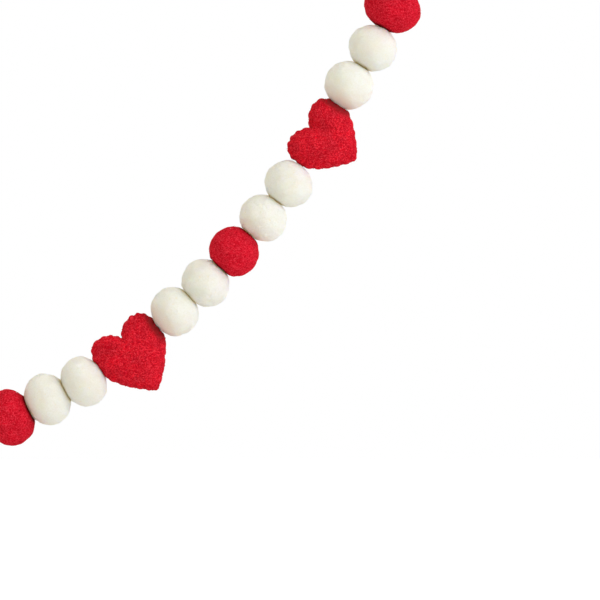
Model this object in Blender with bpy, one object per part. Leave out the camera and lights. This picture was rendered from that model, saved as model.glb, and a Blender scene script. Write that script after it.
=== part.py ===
"""Felt ball garland, hanging as a swag between the two cord loops at its ends.

Thirty-five wool felt beads sit on one cotton cord: white balls, red balls and stuffed felt
hearts. Their own weight pushes them together, so each one is pressed flat against its
neighbours. The cord runs through them all and is knotted at both ends, and past each knot it
makes a loop to hang the garland by.

Sizes are in metres and +Z is up. X runs along the swag from the left loop to the right one, the
string lies in the plane Y = 0, and the front faces -Y. The origin is the top of the left loop.
"""
import math
import random

import bmesh
import bpy
from mathutils import Matrix, Vector

MM = 0.001
GAP = 0.3 * MM                      # clearance between pieces that touch

# Beads from the left end to the right one: W white ball, R red ball, H heart
REPEAT = "WWRWWH"
CLOSING = "WWRWW"
ORDER = REPEAT * 5 + CLOSING
MIDDLE = len(ORDER) // 2            # index of the bead at the lowest point
NAMES = {"W": "white_ball", "R": "red_ball", "H": "heart"}

# String
CURVE_RADIUS = 182.4 * MM           # radius of the hanging curve at its lowest point
CORD_WIDTH = 1.3 * MM
HOLE_WIDTH = 2.2 * MM               # needle hole through each bead
HOLE_SIDES = 12                     # of a hole through a heart; a ball's has the ball's sides
CORD_BEVEL_RESOLUTION = 2           # eight sides

# Half the string that each kind takes up, where its neighbours hardly press it
ROOM = {"W": 11.1 * MM, "R": 11.7 * MM, "H": 18.3 * MM}
PRESSED = 0.895                     # share of that room left for a ball at the lowest point
END_ROOM = 11.1 * MM                # from the last ball's middle to its outer face

# Balls before they are pressed
BALL_HALF_LENGTH = {"W": 11.4 * MM, "R": 12.0 * MM}
BALL_WIDTH = {"W": 24.5 * MM, "R": 27.2 * MM}
PRESSED_WIDTH_GAIN = 0.05           # a ball pressed at the lowest point is this much wider
WIDTH_SPREAD = 0.4 * MM             # hand-rolled balls differ by up to this
OFF_STRING_SPREAD = 0.6 * MM
LUMP = 0.012                        # height of a ball's soft lumps, as a share of its width
LUMPS_AROUND = (1, 2, 3)            # lumps on the way round
LUMP_TWIST = 1.5                    # how far their place may shift along the ball, in radians
BALL_SIDES = 16
BALL_BANDS = 6
HALVINGS = 40                       # steps that find where a ball's surface meets a flat

# Balls with sizes of their own, in mm: width across the string, and how far the body sits off
# the string towards the inner side of the curve
OWN_SIZES = {
    # place: (width, off_string)
    21: (28.6, -0.5), 22: (26.2, 0.5), 23: (25.8, -0.5), 25: (24.8, 0.1), 26: (24.7, -0.6),
    27: (26.8, -0.3), 28: (24.3, -0.9), 29: (24.5, -0.9), 31: (24.7, 0.8), 32: (24.4, -0.5),
    33: (29.4, 0.2),
}

# Hearts: how far the lobes rise over the string and the point drops below it, in mm, the lean
# of the point along the string and the turn about the heart's own upright, in degrees
HEART_COLUMNS = ("place", "width", "rise", "drop", "lean", "turn")
HEART_ROWS = (
    (6, 37.2, 12.4, 24.4, 2.0, -6.0),
    (12, 37.6, 11.8, 23.6, -2.0, 5.0),
    (18, 37.0, 12.4, 25.0, 1.0, -4.0),
    (24, 37.0, 12.8, 25.8, -3.5, 8.0),
    (30, 37.6, 11.4, 22.0, -3.0, 8.0),
)
HEART_THICKNESS = 18.0 * MM
HEART_CROWN_HEIGHT = 0.25           # the crown's middle, as a share of rise less drop
HEART_EDGE_POWER = 2.6              # higher keeps the crown fuller towards the seam
HEART_CROWN_POWER = 0.6
HEART_RINGS = (0.94, 0.80, 0.52)    # shares of the way from the middle out to the seam
HEART_SIDE_POINTS = 20              # points on each half of the outline

# Right half of the outline from the notch to the point, as shares: side of half the width,
# height of the rise (above the string) or of the drop (below it)
HEART_OUTLINE = (
    # side, height
    (0.00, 0.52), (0.17, 0.80), (0.38, 0.96), (0.60, 1.00), (0.83, 0.84), (0.98, 0.40),
    (1.00, -0.06), (0.88, -0.33), (0.58, -0.63), (0.26, -0.87), (0.00, -1.00),
)

# Knots and loops, in mm from the knot's outer face
KNOT_WIDTH = 4.4 * MM
KNOT_LENGTH = 3.2 * MM
KNOT_SIDES = 12
KNOT_WRAPS = (
    # share of the length, share of half the width: two wraps with a waist between them
    (0.00, 0.70), (0.12, 0.92), (0.27, 1.00), (0.42, 0.93), (0.50, 0.80), (0.58, 0.93),
    (0.73, 1.00), (0.88, 0.92), (1.00, 0.84),
)
TAIL_REACH = 9.2 * MM               # from the knot's middle
TAIL_ANGLES = (62.0, 108.0)         # from the way the string runs on to the outer side
TAIL_DROOP = 0.8 * MM
TAIL_STEPS = (0.1, 0.4, 0.6, 0.8, 1.0)
LOOP_HALF = (
    # side, height
    (0.95, 0.3), (1.15, 7.0), (2.1, 20.0), (3.6, 36.0), (4.8, 49.0), (4.7, 56.0), (3.0, 60.6),
    (0.0, 62.3),
)
LOOP_POINTS = 41

# Wool and cotton as red, green and blue, then roughness
WHITE_FELT = ((0.84, 0.81, 0.72), 0.95)
RED_FELT = ((0.56, 0.018, 0.03), 0.95)
COTTON = ((0.72, 0.69, 0.60), 0.85)
FELT = {"W": WHITE_FELT, "R": RED_FELT, "H": RED_FELT}


def clear_scene():
    for item in list(bpy.data.objects):
        bpy.data.objects.remove(item, do_unlink=True)


def material(name, finish):
    colour, roughness = finish
    made = bpy.data.materials.new(name)
    made.use_nodes = True
    shader = made.node_tree.nodes["Principled BSDF"]
    shader.inputs["Base Color"].default_value = (*colour, 1.0)
    shader.inputs["Roughness"].default_value = roughness
    shader.inputs["Metallic"].default_value = 0.0
    return made


def add_object(name, data, finish):
    """Put a mesh or a curve in the scene under a name, with a material of its own."""
    made = bpy.data.objects.new(name, data)
    data.materials.append(material(name, finish))
    bpy.context.scene.collection.objects.link(made)
    return made


def mesh_from(name, points, faces):
    """A closed, smooth-shaded mesh whose faces point outwards."""
    mesh = bpy.data.meshes.new(name)
    mesh.from_pydata([tuple(point) for point in points], [], faces)
    work = bmesh.new()
    work.from_mesh(mesh)
    bmesh.ops.recalc_face_normals(work, faces=work.faces)
    work.to_mesh(mesh)
    work.free()
    mesh.shade_smooth()
    return mesh


def hidden_tool(name, mesh):
    """An object that only shapes another one."""
    tool = bpy.data.objects.new(name, mesh)
    bpy.context.scene.collection.objects.link(tool)
    tool.hide_render = True
    tool.display_type = "WIRE"
    return tool


def add_boolean(target, tool, operation):
    step = target.modifiers.new(tool.name, "BOOLEAN")
    step.operation = operation
    step.solver = "EXACT"
    step.object = tool


# Layout along the string

def ease(index):
    """0 for the bead at the lowest point, rising to 1 for the beads at the ends."""
    return abs(index - MIDDLE) / MIDDLE


def room(index):
    """Half the length that a bead takes up on the string."""
    kind = ORDER[index]
    if kind == "H":
        return ROOM[kind]
    return ROOM[kind] * (PRESSED + (1.0 - PRESSED) * ease(index))


def arc_limits():
    """Arc lengths from the lowest point at which each bead starts and ends."""
    reach = room(MIDDLE)
    ends = [reach]
    for index in range(MIDDLE + 1, len(ORDER)):
        last = index == len(ORDER) - 1
        reach += room(index) + (END_ROOM if last else room(index))
        ends.append(reach)
    return [-end for end in reversed(ends)] + ends


def on_curve(arc):
    """The point of the hanging curve that lies an arc length from its lowest point."""
    side = CURVE_RADIUS * math.asinh(arc / CURVE_RADIUS)
    height = math.hypot(CURVE_RADIUS, arc) - CURVE_RADIUS
    return Vector((side, 0.0, height))


def curve_direction(arc):
    return Vector((CURVE_RADIUS, 0.0, arc)).normalized()


def loop_top(arc):
    """Where the loop past the string's end at this arc length hangs from its hook."""
    outward = curve_direction(arc) * math.copysign(1.0, arc)
    return on_curve(arc) + outward * (GAP + KNOT_LENGTH + LOOP_HALF[-1][1] * MM)


LIMITS = arc_limits()
ORIGIN = loop_top(LIMITS[0])
TOUCH = [on_curve(arc) - ORIGIN for arc in LIMITS]      # where the beads meet on the string


HEARTS = {row[0]: dict(zip(HEART_COLUMNS, row)) for row in HEART_ROWS}


def bead_axis(index):
    return (TOUCH[index + 1] - TOUCH[index]).normalized()


def inner_side(along):
    """Across the string, towards the inner side of the curve."""
    return Vector((-along.z, 0.0, along.x))


def turn_at(number):
    """How far the faces that meet at a joint of the string are turned, in radians."""
    for index in (number - 1, number):
        if 0 <= index < len(ORDER) and ORDER[index] == "H":
            return math.radians(HEARTS[index + 1]["turn"])
    return 0.0


def face_plane(number):
    """Point and normal of the flat on which the beads at a joint of the string press."""
    if number == 0:
        along = bead_axis(0)
    elif number == len(ORDER):
        along = bead_axis(number - 1)
    else:
        along = (bead_axis(number - 1) + bead_axis(number)).normalized()
    turned = Matrix.Rotation(turn_at(number), 3, inner_side(along)) @ along
    return TOUCH[number], turned


def bead_planes(index):
    """The flats at a bead's start and end, as point and outward normal, each moved half a gap in."""
    planes = []
    for number, sign in ((index, -1.0), (index + 1, 1.0)):
        point, normal = face_plane(number)
        outward = normal * sign
        planes.append((point - outward * GAP / 2, outward))
    return planes


# Balls

def ball_sizes(index):
    """Half the width of a ball, and how far it sits off the string."""
    place = index + 1
    if place in OWN_SIZES:
        width, off_string = OWN_SIZES[place]
        return width * MM / 2, off_string * MM
    chance = random.Random(place)
    width = BALL_WIDTH[ORDER[index]] * (1.0 + PRESSED_WIDTH_GAIN * (1.0 - ease(index)))
    width += chance.uniform(-WIDTH_SPREAD, WIDTH_SPREAD)
    return width / 2, chance.uniform(-OFF_STRING_SPREAD, OFF_STRING_SPREAD)


def lumps(place):
    """Soft unevenness of a hand-rolled ball, as a factor for a way round and a rise along it."""
    chance = random.Random(f"lumps {place}")
    waves = []
    for count in LUMPS_AROUND:
        waves.append((count, chance.uniform(0.0, math.tau), chance.uniform(-LUMP_TWIST, LUMP_TWIST)))

    def factor(around, rise):
        total = sum(math.sin(count * around + start + twist * rise) for count, start, twist in waves)
        return 1.0 + LUMP * total / len(waves)

    return factor


def ball_surface(index):
    """A function from a way round and a rise to a point on the ball before it is pressed."""
    along = bead_axis(index)
    inner = inner_side(along)
    front = along.cross(inner)
    half_width, off_string = ball_sizes(index)
    half_length = BALL_HALF_LENGTH[ORDER[index]]
    arc_middle = (TOUCH[index] + TOUCH[index + 1]) / 2
    middle = arc_middle + inner * off_string
    uneven = lumps(index + 1)

    def point(around, rise):
        spoke = inner * math.cos(around) + front * math.sin(around)
        width = half_width * uneven(around, rise) * math.cos(rise)
        return middle + along * (half_length * math.sin(rise)) + spoke * width

    return point, arc_middle, along, inner, front


def rise_at_plane(point, around, plane):
    """The rise at which a ball's surface meets a flat, found by halving."""
    place, normal = plane
    low, high = 0.0, math.copysign(math.pi / 2, normal.x)
    for _ in range(HALVINGS):
        middle = (low + high) / 2
        if (point(around, middle) - place).dot(normal) < 0:
            low = middle
        else:
            high = middle
    return (low + high) / 2


def hole_point(start, along, spoke, plane):
    """A point of the needle hole's edge on a flat."""
    place, normal = plane
    edge = start + spoke * (HOLE_WIDTH / 2)
    return edge + along * ((place - edge).dot(normal) / along.dot(normal))


def make_ball(index):
    point, start, along, inner, front = ball_surface(index)
    first, last = bead_planes(index)
    points = []
    for step in range(BALL_SIDES):
        around = math.tau * step / BALL_SIDES
        spoke = inner * math.cos(around) + front * math.sin(around)
        low = rise_at_plane(point, around, first)
        high = rise_at_plane(point, around, last)
        points.append(hole_point(start, along, spoke, first))
        for band in range(BALL_BANDS + 1):
            points.append(point(around, low + (high - low) * band / BALL_BANDS))
        points.append(hole_point(start, along, spoke, last))
    name = f"{NAMES[ORDER[index]]}_{index + 1:02d}"
    mesh = mesh_from(name, points, wrap_faces(BALL_SIDES, BALL_BANDS + 3))
    return add_object(name, mesh, FELT[ORDER[index]])


def wrap_faces(columns, rows):
    """Faces of a closed ring: rows of points that close on themselves, in columns that do too."""
    faces = []
    for column in range(columns):
        beside = (column + 1) % columns
        for row in range(rows):
            above = (row + 1) % rows
            faces.append((column * rows + row, beside * rows + row,
                          beside * rows + above, column * rows + above))
    return faces


# Hearts

def smooth_through(points, count):
    """Points at even steps on a smooth curve through the given ones."""
    ends = [points[0] * 2 - points[1], *points, points[-1] * 2 - points[-2]]
    made = []
    for step in range(count):
        reach = step * (len(points) - 1) / (count - 1)
        span = min(int(reach), len(points) - 2)
        part = reach - span
        before, start, end, after = ends[span:span + 4]
        made.append(0.5 * (2 * start + (end - before) * part
                           + (2 * before - 5 * start + 4 * end - after) * part ** 2
                           + (3 * start - before - 3 * end + after) * part ** 3))
    return made


def heart_outline(row):
    """The seam, clockwise from the notch, as side and height from the string."""
    half = []
    for side, height in HEART_OUTLINE:
        reach = row["rise"] if height > 0 else row["drop"]
        half.append(Vector((side * row["width"] / 2 * MM, height * reach * MM)))
    right = smooth_through(half, HEART_SIDE_POINTS + 1)
    left = [Vector((-point.x, point.y)) for point in reversed(right[1:-1])]
    return right + left


def heart_depth(share):
    """Half the heart's thickness, at a share of the way from its middle to the seam."""
    return HEART_THICKNESS / 2 * (1.0 - share ** HEART_EDGE_POWER) ** HEART_CROWN_POWER


def press(point, planes):
    """Move a point that a neighbour would overlap back to the flat between them."""
    for place, normal in planes:
        over = (point - place).dot(normal)
        if over > 0:
            point = point - normal * over
    return point


def make_heart(index):
    row = HEARTS[index + 1]
    along = bead_axis(index)
    inner = inner_side(along)
    front = along.cross(inner)
    turn = Matrix.Rotation(math.radians(row["turn"]), 3, inner)
    lean = Matrix.Rotation(math.radians(row["lean"]), 3, front)
    middle = (TOUCH[index] + TOUCH[index + 1]) / 2
    outline = heart_outline(row)
    heart_middle = Vector((0.0, (row["rise"] - row["drop"]) * HEART_CROWN_HEIGHT * MM))

    def place(flat, depth):
        local = along * flat.x + inner * flat.y + front * depth
        return press(middle + turn @ lean @ local, bead_planes(index))

    points = [place(flat, 0.0) for flat in outline]
    sides = {}
    for sign in (1.0, -1.0):
        first = len(points)
        for share in HEART_RINGS:
            depth = heart_depth(share) * sign
            points += [place(heart_middle.lerp(flat, share), depth) for flat in outline]
        points.append(place(heart_middle, heart_depth(0.0) * sign))
        sides[sign] = first
    name = f"{NAMES['H']}_{index + 1:02d}"
    mesh = mesh_from(name, points, heart_faces(len(outline), sides))
    heart = add_object(name, mesh, FELT["H"])
    add_boolean(heart, needle(name, middle, along), "DIFFERENCE")
    return heart


def heart_faces(count, sides):
    """Bands from the seam to the crown on both sides, closed by a fan at each crown."""
    faces = []
    for first in sides.values():
        rings = [0] + [first + number * count for number in range(len(HEART_RINGS))]
        crown = first + len(HEART_RINGS) * count
        for number in range(count):
            beside = (number + 1) % count
            for outer, nearer in zip(rings, rings[1:]):
                faces.append((outer + number, outer + beside, nearer + beside, nearer + number))
            faces.append((rings[-1] + number, rings[-1] + beside, crown))
    return faces


def needle(name, middle, along):
    """A round tool that cuts a heart's needle hole."""
    work = bmesh.new()
    bmesh.ops.create_cone(work, cap_ends=True, segments=HOLE_SIDES, radius1=HOLE_WIDTH / 2,
                          radius2=HOLE_WIDTH / 2, depth=4 * ROOM["H"])
    upright = Vector((0.0, 0.0, 1.0)).rotation_difference(along).to_matrix().to_4x4()
    bmesh.ops.transform(work, matrix=Matrix.Translation(middle) @ upright, verts=work.verts)
    mesh = bpy.data.meshes.new(f"{name}_needle")
    work.to_mesh(mesh)
    work.free()
    return hidden_tool(f"{name}_needle", mesh)


# Cords

def cord_curve(name, points):
    """A round cord with filled ends along the given points."""
    curve = bpy.data.curves.new(name, "CURVE")
    curve.dimensions = "3D"
    spline = curve.splines.new("POLY")
    spline.points.add(len(points) - 1)
    for number, point in enumerate(points):
        spline.points[number].co = (*point, 1.0)
    curve.bevel_depth = CORD_WIDTH / 2
    curve.bevel_resolution = CORD_BEVEL_RESOLUTION
    curve.use_fill_caps = True
    return curve


def make_string():
    """The cord inside the beads: straight through each one, from end face to end face."""
    return add_object("stringing_cord", cord_curve("stringing_cord", TOUCH), COTTON)


def end_frame(end):
    """Where a knot starts, the way the string runs on there, and the outer side of the curve."""
    if end == "right":
        return TOUCH[-1], curve_direction(LIMITS[-1]), -inner_side(curve_direction(LIMITS[-1]))
    onward = -curve_direction(LIMITS[0])
    return TOUCH[0], onward, -inner_side(-onward)


def make_loop(end):
    """A long teardrop of cord from the knot, over the hook and back."""
    start, onward, outer = end_frame(end)
    base = start + onward * (GAP + KNOT_LENGTH)
    half = [Vector((side * MM, 0.0, height * MM)) for side, height in LOOP_HALF]
    route = half + [Vector((-point.x, 0.0, point.z)) for point in reversed(half[:-1])]
    points = [base + outer * flat.x + onward * flat.z for flat in smooth_through(route, LOOP_POINTS)]
    name = f"loop_cord_{end}"
    return add_object(name, cord_curve(name, points), COTTON)


def make_knot(end):
    """Two wraps of cord pulled tight, with the cord's two short tails."""
    start, onward, outer = end_frame(end)
    front = onward.cross(outer)
    base = start + onward * GAP
    points = []
    for height, width in KNOT_WRAPS:
        for step in range(KNOT_SIDES):
            around = math.tau * step / KNOT_SIDES
            spoke = outer * math.cos(around) + front * math.sin(around)
            points.append(base + onward * (height * KNOT_LENGTH) + spoke * (width * KNOT_WIDTH / 2))
    faces = [tuple(range(KNOT_SIDES)), tuple(range(len(points) - KNOT_SIDES, len(points)))]
    for row in range(len(KNOT_WRAPS) - 1):
        for step in range(KNOT_SIDES):
            beside = (step + 1) % KNOT_SIDES
            faces.append((row * KNOT_SIDES + step, row * KNOT_SIDES + beside,
                          (row + 1) * KNOT_SIDES + beside, (row + 1) * KNOT_SIDES + step))
    name = f"knot_{end}"
    knot = add_object(name, mesh_from(name, points, faces), COTTON)
    middle = base + onward * (KNOT_LENGTH / 2)
    for number, angle in enumerate(TAIL_ANGLES):
        tail = tail_tool(f"{name}_tail_{number + 1}", middle, onward, outer, math.radians(angle))
        add_boolean(knot, tail, "UNION")
    return knot


def tail_tool(name, middle, onward, outer, angle):
    """A short free end of the cord, which starts inside the knot and droops a little."""
    way = onward * math.cos(angle) + outer * math.sin(angle)
    down = Vector((0.0, 0.0, -1.0))
    points = [middle + way * (share * TAIL_REACH) + down * (TAIL_DROOP * share ** 2)
              for share in TAIL_STEPS]
    guide = bpy.data.objects.new(name, cord_curve(name, points))
    bpy.context.scene.collection.objects.link(guide)
    solid = bpy.data.meshes.new_from_object(guide.evaluated_get(bpy.context.evaluated_depsgraph_get()))
    bpy.data.objects.remove(guide, do_unlink=True)
    return hidden_tool(name, solid)


def build():
    clear_scene()
    for index, kind in enumerate(ORDER):
        if kind == "H":
            make_heart(index)
        else:
            make_ball(index)
    make_string()
    for end in ("left", "right"):
        make_knot(end)
        make_loop(end)


build()
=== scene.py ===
# %% [markdown]
# # A felt ball garland
# Thirty-five wool felt beads hang on one thin cotton cord: white balls, red balls and stuffed
# red hearts. Two cord loops at the ends carry it, and it hangs between them as a swag.
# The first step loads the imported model, which says where each bead, knot and loop is. Every
# piece that follows is made in that same place, in metres, so nothing has to be fitted later.

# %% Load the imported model
import math
import random

import bpy
from mathutils import Matrix, Vector, noise


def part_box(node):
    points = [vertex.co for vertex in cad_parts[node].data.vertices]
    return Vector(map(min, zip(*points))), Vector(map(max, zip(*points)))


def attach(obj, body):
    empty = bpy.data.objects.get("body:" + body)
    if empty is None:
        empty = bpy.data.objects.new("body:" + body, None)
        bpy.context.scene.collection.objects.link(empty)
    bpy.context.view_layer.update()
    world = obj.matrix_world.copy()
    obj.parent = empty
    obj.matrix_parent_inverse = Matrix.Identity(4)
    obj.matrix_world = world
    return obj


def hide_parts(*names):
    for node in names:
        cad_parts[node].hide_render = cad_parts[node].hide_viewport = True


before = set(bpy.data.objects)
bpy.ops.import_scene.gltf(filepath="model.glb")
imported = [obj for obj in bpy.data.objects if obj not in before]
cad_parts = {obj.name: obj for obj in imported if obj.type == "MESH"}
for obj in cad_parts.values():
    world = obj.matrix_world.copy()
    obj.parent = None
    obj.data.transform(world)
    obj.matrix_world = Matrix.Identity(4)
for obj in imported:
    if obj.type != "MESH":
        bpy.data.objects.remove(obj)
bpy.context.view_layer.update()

MM = 0.001

# %% [markdown]
# The beads come in a fixed order, threaded from one end to the other: two white balls, a red
# one, two white ones and a heart, five times over, and then a last run without the heart.
# One letter for each bead keeps that order readable, and each bead's name follows from it.

# %% Order of the beads
REPEAT = "WWRWWH"
CLOSING = "WWRWW"
ORDER = REPEAT * 5 + CLOSING
MIDDLE = len(ORDER) // 2            # index of the bead at the lowest point
NAMES = {"W": "white_ball", "R": "red_ball", "H": "heart"}


def bead_name(index):
    return f"{NAMES[ORDER[index]]}_{index + 1:02d}"


print(f"{len(ORDER)} beads, lowest is {bead_name(MIDDLE)}")

# %% [markdown]
# A cord with even weight along it hangs as a catenary, so the string follows one. Each bead
# takes its own length of that curve. The weight of the swag pushes the beads together, so the
# balls near the lowest point take a little less room than those near the ends. The points
# where two beads meet are all that the other steps need, with the origin at the left hook.

# %% The hanging curve
CURVE_RADIUS = 182.4 * MM           # radius of the hanging curve at its lowest point
ROOM = {"W": 11.1 * MM, "R": 11.7 * MM, "H": 18.3 * MM}     # half of a bead's length of string
PRESSED = 0.895                     # share of that room left for a ball at the lowest point
END_ROOM = 11.1 * MM                # from the last ball's middle to its outer face
KNOT_GAP = 0.3 * MM                 # between the last ball and the knot
KNOT_LENGTH = 3.2 * MM
LOOP_HEIGHT = 62.3 * MM


def ease(index):
    """0 for the bead at the lowest point, rising to 1 for the beads at the ends."""
    return abs(index - MIDDLE) / MIDDLE


def room(index):
    kind = ORDER[index]
    if kind == "H":
        return ROOM[kind]
    return ROOM[kind] * (PRESSED + (1.0 - PRESSED) * ease(index))


def arc_limits():
    """Arc lengths from the lowest point at which each bead starts and ends."""
    reach = room(MIDDLE)
    ends = [reach]
    for index in range(MIDDLE + 1, len(ORDER)):
        last = index == len(ORDER) - 1
        reach += room(index) + (END_ROOM if last else room(index))
        ends.append(reach)
    return [-end for end in reversed(ends)] + ends


def on_curve(arc):
    side = CURVE_RADIUS * math.asinh(arc / CURVE_RADIUS)
    return Vector((side, 0.0, math.hypot(CURVE_RADIUS, arc) - CURVE_RADIUS))


def curve_direction(arc):
    return Vector((CURVE_RADIUS, 0.0, arc)).normalized()


LIMITS = arc_limits()
LEFT_HOOK = on_curve(LIMITS[0]) - curve_direction(LIMITS[0]) * (KNOT_GAP + KNOT_LENGTH + LOOP_HEIGHT)
TOUCH = [on_curve(arc) - LEFT_HOOK for arc in LIMITS]       # where the beads meet on the string


def bead_axis(index):
    return (TOUCH[index + 1] - TOUCH[index]).normalized()


def bead_middle(index):
    return (TOUCH[index] + TOUCH[index + 1]) / 2


def inner_side(along):
    """Across the string, towards the inner side of the curve."""
    return Vector((-along.z, 0.0, along.x))


apart = 0.0
for index, kind in enumerate(ORDER):
    low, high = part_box(bead_name(index))
    if kind != "H":
        apart = max(apart, ((Vector(low) + Vector(high)) / 2 - bead_middle(index)).length)
print(f"The balls' boxes lie within {apart / MM:.1f} mm of this curve")

# %% [markdown]
# The camera looks straight at the rising half of the swag, a little from afar, so that the
# balls at the edge of the picture are not stretched. The distance and the width of what the
# picture takes in give the lens.

# %% Camera
PICTURE_MIDDLE = Vector((0.5225, 0.0, -0.2566))     # what the middle of the picture shows
PICTURE_WIDTH = 0.300
CAMERA_DISTANCE = 1.2
SENSOR_WIDTH = 36.0                                 # in mm, as lenses are counted

camera = bpy.data.objects.new("camera", bpy.data.cameras.new("camera"))
camera.data.sensor_width = SENSOR_WIDTH
camera.data.lens = SENSOR_WIDTH * CAMERA_DISTANCE / PICTURE_WIDTH
camera.location = PICTURE_MIDDLE - Vector((0.0, CAMERA_DISTANCE, 0.0))
camera.rotation_euler = (math.radians(90.0), 0.0, 0.0)
bpy.context.scene.collection.objects.link(camera)
bpy.context.scene.camera = camera
print(f"Lens {camera.data.lens:.0f} mm")

# %% [markdown]
# Shader maths reads best as plain sums, so one small class wraps a node's socket and turns
# +, - and * into Math nodes. A second class is one finish: it adds any node from its type,
# its settings and what goes into its sockets, and closes with the surface shader.

# %% Shader maths
class Strand:
    """A socket in a finish. Sums with it add Math nodes."""

    def __init__(self, finish, socket):
        self.finish = finish
        self.socket = socket

    def maths(self, operation, first, second):
        return self.finish.node("ShaderNodeMath", {"operation": operation}, {0: first, 1: second})

    def __add__(self, other):
        return self.maths("ADD", self, other)

    def __sub__(self, other):
        return self.maths("SUBTRACT", self, other)

    def __rsub__(self, other):
        return self.maths("SUBTRACT", other, self)

    def __mul__(self, other):
        return self.maths("MULTIPLY", self, other)

    __radd__ = __add__
    __rmul__ = __mul__


class Finish:
    """One material, built from expressions."""

    def __init__(self, name):
        self.material = bpy.data.materials.new(name)
        self.material.use_nodes = True
        self.tree = self.material.node_tree
        self.surface = self.tree.nodes["Principled BSDF"]

    def plug(self, socket, value):
        if isinstance(value, Strand):
            self.tree.links.new(value.socket, socket)
        elif isinstance(value, tuple) and socket.type == "RGBA":
            socket.default_value = (*value, 1.0)
        else:
            socket.default_value = value

    def node(self, kind, settings, sockets, output=0):
        """Add a node: its settings first, then values or strands for its sockets."""
        made = self.tree.nodes.new(kind)
        for name, value in settings.items():
            setattr(made, name, value)
        for name, value in sockets.items():
            self.plug(made.inputs[name], value)
        return Strand(self, made.outputs[output])

    def place(self):
        """Where a point is on the piece, in metres."""
        return self.node("ShaderNodeTexCoord", {}, {}, "Object")

    def marked(self, name):
        """A value that the mesh carries at each of its points."""
        return self.node("ShaderNodeAttribute", {"attribute_name": name}, {}, "Fac")

    def cloud(self, place, size, detail=2.0, warp=0.0):
        """Soft noise from 0 to 1, whose patches are about this size in metres."""
        sockets = {"Vector": place, "Scale": 1.0 / size, "Detail": detail, "Distortion": warp}
        return self.node("ShaderNodeTexNoise", {}, sockets, "Fac")

    def between(self, value, low, high):
        """0 below low, 1 above high and smooth in between."""
        settings = {"interpolation_type": "SMOOTHSTEP"}
        sockets = {"Value": value, "From Min": low, "From Max": high}
        return self.node("ShaderNodeMapRange", settings, sockets, "Result")

    def mix(self, share, first, second):
        """Blend two colours."""
        return self.node("ShaderNodeMix", {"data_type": "RGBA"}, {0: share, 6: first, 7: second}, 2)

    def shifted(self, place, strand, reach):
        """Move places about by up to a reach in metres, so that straight patterns wander."""
        offset = self.node("ShaderNodeVectorMath", {"operation": "SCALE"}, {0: strand, "Scale": reach})
        return self.node("ShaderNodeVectorMath", {"operation": "ADD"}, {0: place, 1: offset})

    def bump(self, height, depth, strength=1.0):
        return self.node("ShaderNodeBump", {}, {"Height": height, "Distance": depth,
                                                "Strength": strength}, "Normal")

    def close(self, colour, roughness, normal, fixed=None):
        """Join the finish to the surface shader; fixed values are the same all over."""
        self.plug(self.surface.inputs["Base Color"], colour)
        self.plug(self.surface.inputs["Roughness"], roughness)
        self.plug(self.surface.inputs["Normal"], normal)
        for name, value in (fixed or {}).items():
            self.plug(self.surface.inputs[name], value)
        return self.material


# %% [markdown]
# Wool felt is a tangle of crimped fibres pressed flat by hand. Up close it shows lighter
# fibres that cross each other over a slightly darker ground, and from a step away only fine
# grain and soft patches. Noise that is stretched far in one direction gives fibres: each lies
# where the noise passes through its middle value. Three directions cross on every side of a
# round bead, and a little more noise makes them wavy. Light also goes a few millimetres into wool, above all into white wool, so
# the white balls stay bright on their shaded side and red light fills the folds of a heart.

# %% Fibres in the felt
FIBRE_RUN = 3.5 * MM                # how far a fibre in the felt runs before it bends away
FIBRE_GAP = 0.4 * MM                # from one fibre to the next beside it
FIBRE_WAVE = 7.0 * MM               # size of the waves in a fibre
FIBRE_SWAY = 2.4 * MM               # how far a wave moves it
FIBRE_TURNS = ((0.3, 0.2, 0.0), (0.9, 0.4, 2.1), (0.5, 1.2, 1.0))      # their three directions
FIBRE_FINE = 0.0028                 # how near the noise must be to its middle, squared


def fibres(finish, place, turns):
    """1 on fine wavy fibres that lie in about one direction, and 0 between them."""
    wander = finish.node("ShaderNodeTexNoise", {}, {"Vector": place, "Scale": 1.0 / FIBRE_WAVE,
                                                    "Detail": 1.0}, "Color")
    sockets = {"Vector": finish.shifted(place, wander, FIBRE_SWAY), "Rotation": turns,
               "Scale": (1.0 / FIBRE_RUN, 1.0 / FIBRE_GAP, 1.0 / FIBRE_GAP)}
    streaks = finish.cloud(finish.node("ShaderNodeMapping", {}, sockets), 1.0, detail=1.0)
    off = streaks - 0.5
    return finish.between(off * off, FIBRE_FINE, 0.0)


def felt(name, colours, thread_share, mottle, depth, fixed):
    """Wool felt: patches, threads, a darker tone in stitch grooves, painted shade in contact lines and
    painted red light beside a red bead.
    """
    ground, thread, deep, contact, blush = colours
    finish = Finish(name)
    place = finish.place()
    patches = finish.cloud(place, 7 * MM, detail=3.0)
    grain = finish.cloud(place, 0.7 * MM, detail=3.0, warp=0.6)
    threads = sum(fibres(finish, place, turns) * 0.5 for turns in FIBRE_TURNS)
    specks = finish.between(finish.cloud(place, 1.4 * MM, detail=1.0, warp=0.3), 0.70, 0.78)
    colour = finish.mix(finish.between(patches, 0.35, 0.70) * mottle, ground, deep)
    colour = finish.mix(finish.between(grain, 0.42, 0.66) * mottle, colour, deep)
    colour = finish.mix(threads * finish.between(grain, 0.60, 0.40) * thread_share, colour, thread)
    colour = finish.mix(specks * 0.35, colour, contact)
    # painted red light from a red bead beside a white ball; on a heart, the darker stitch grooves
    colour = finish.mix(finish.marked("blush"), colour, blush)
    # painted shade in contact lines
    colour = finish.mix(finish.marked("pressed"), colour, contact)
    height = threads * 0.5 + grain * -0.8 + patches * 0.8 + specks * -1.0
    roughness = 0.86 + grain * 0.12
    return finish.close(colour, roughness, finish.bump(height, depth), fixed)


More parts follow.
